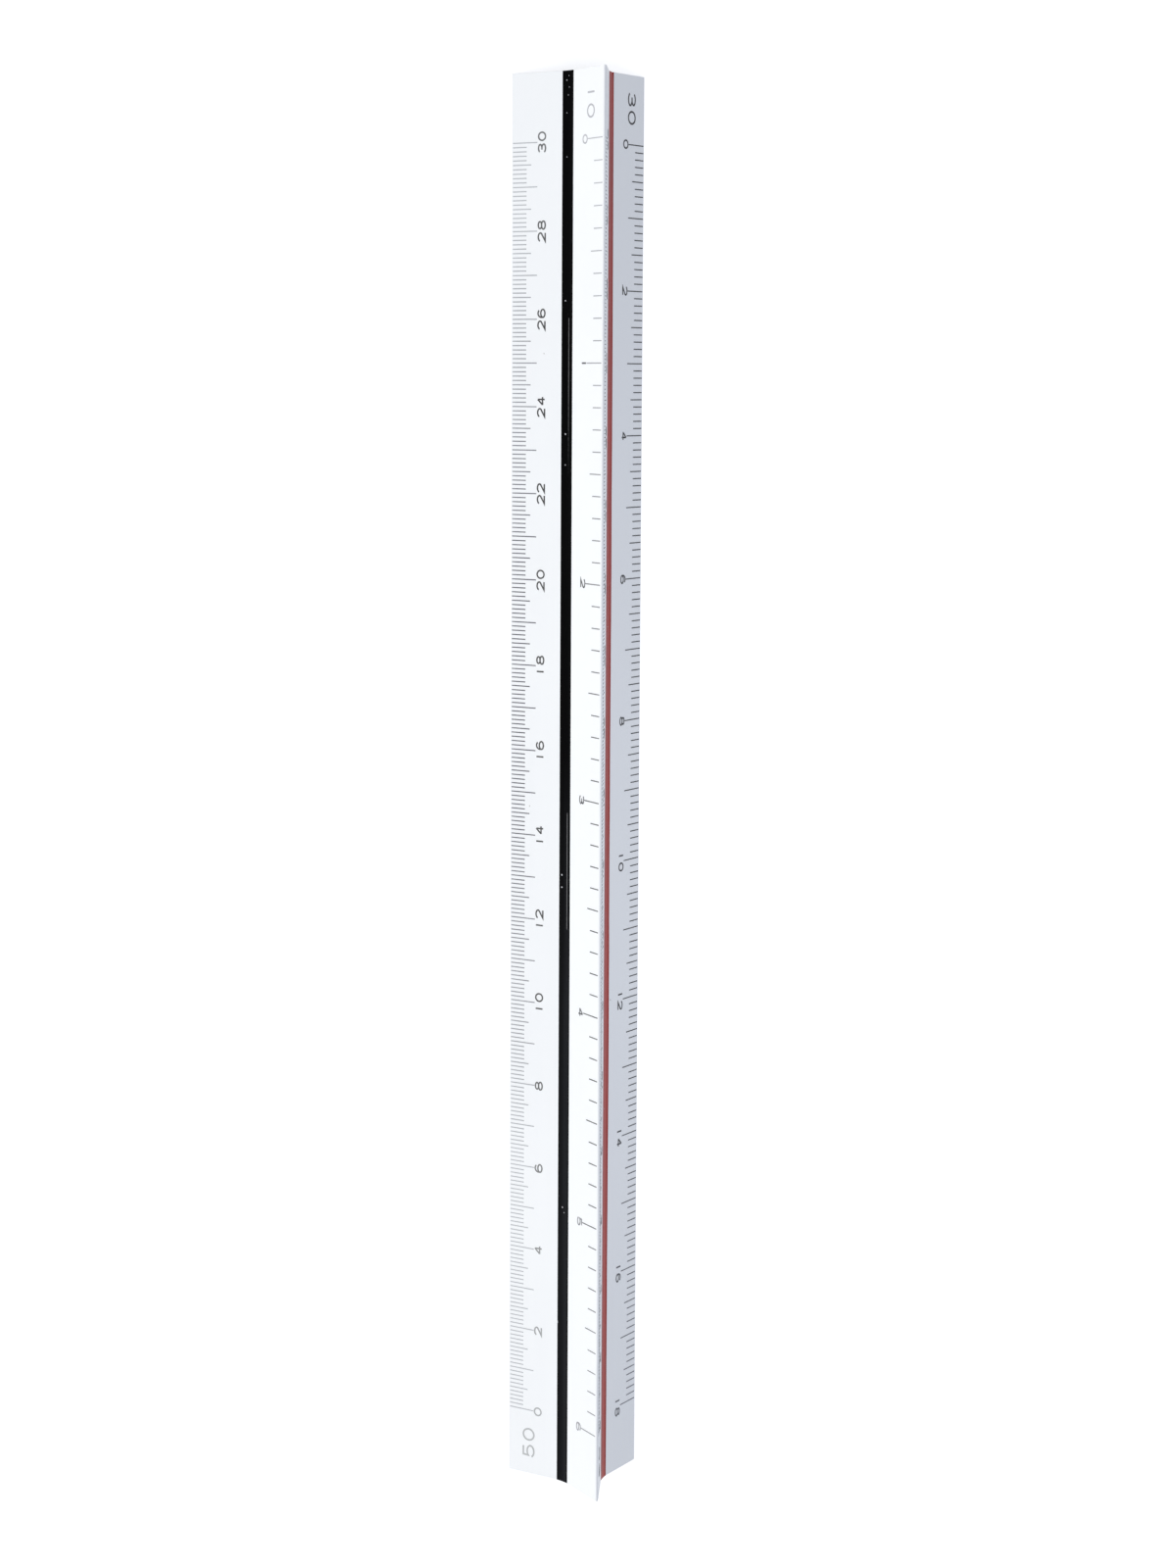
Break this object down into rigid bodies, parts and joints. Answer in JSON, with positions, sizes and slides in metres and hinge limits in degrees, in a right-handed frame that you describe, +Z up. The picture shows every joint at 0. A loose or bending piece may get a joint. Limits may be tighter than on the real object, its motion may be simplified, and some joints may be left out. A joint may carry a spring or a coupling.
{
  "type": "triangular scale ruler",
  "caption": "Short triangular drafting scale with hollowed faces, coloured groove strips and fine printed inch scales along every edge.",
  "frame": {"origin": "under the middle of the ruler, on the surface that it rests on", "axes": "+X along the ruler, +Y across the resting face, +Z up to the top edge"},
  "size_m": [0.1684, 0.0158, 0.0138],
  "materials": {
    "white_plastic": "satin white extruded plastic",
    "black_strip": "glossy black",
    "red_strip": "glossy deep red",
    "green_strip": "glossy deep green",
    "printed_ink": "flat blue-black printing ink"
  },
  "bodies": {
    "root": {"body": "white_plastic", "black_groove_strip": "black_strip", "red_groove_strip": "red_strip", "green_groove_strip": "green_strip", "scale_10_graduations": "printed_ink", "scale_10_numerals": "printed_ink", "scale_20_graduations": "printed_ink", "scale_20_numerals": "printed_ink", "scale_30_graduations": "printed_ink", "scale_30_numerals": "printed_ink", "scale_40_graduations": "printed_ink", "scale_40_numerals": "printed_ink", "scale_50_graduations": "printed_ink", "scale_50_numerals": "printed_ink", "scale_60_graduations": "printed_ink", "scale_60_numerals": "printed_ink"}
  },
  "joints": []
}
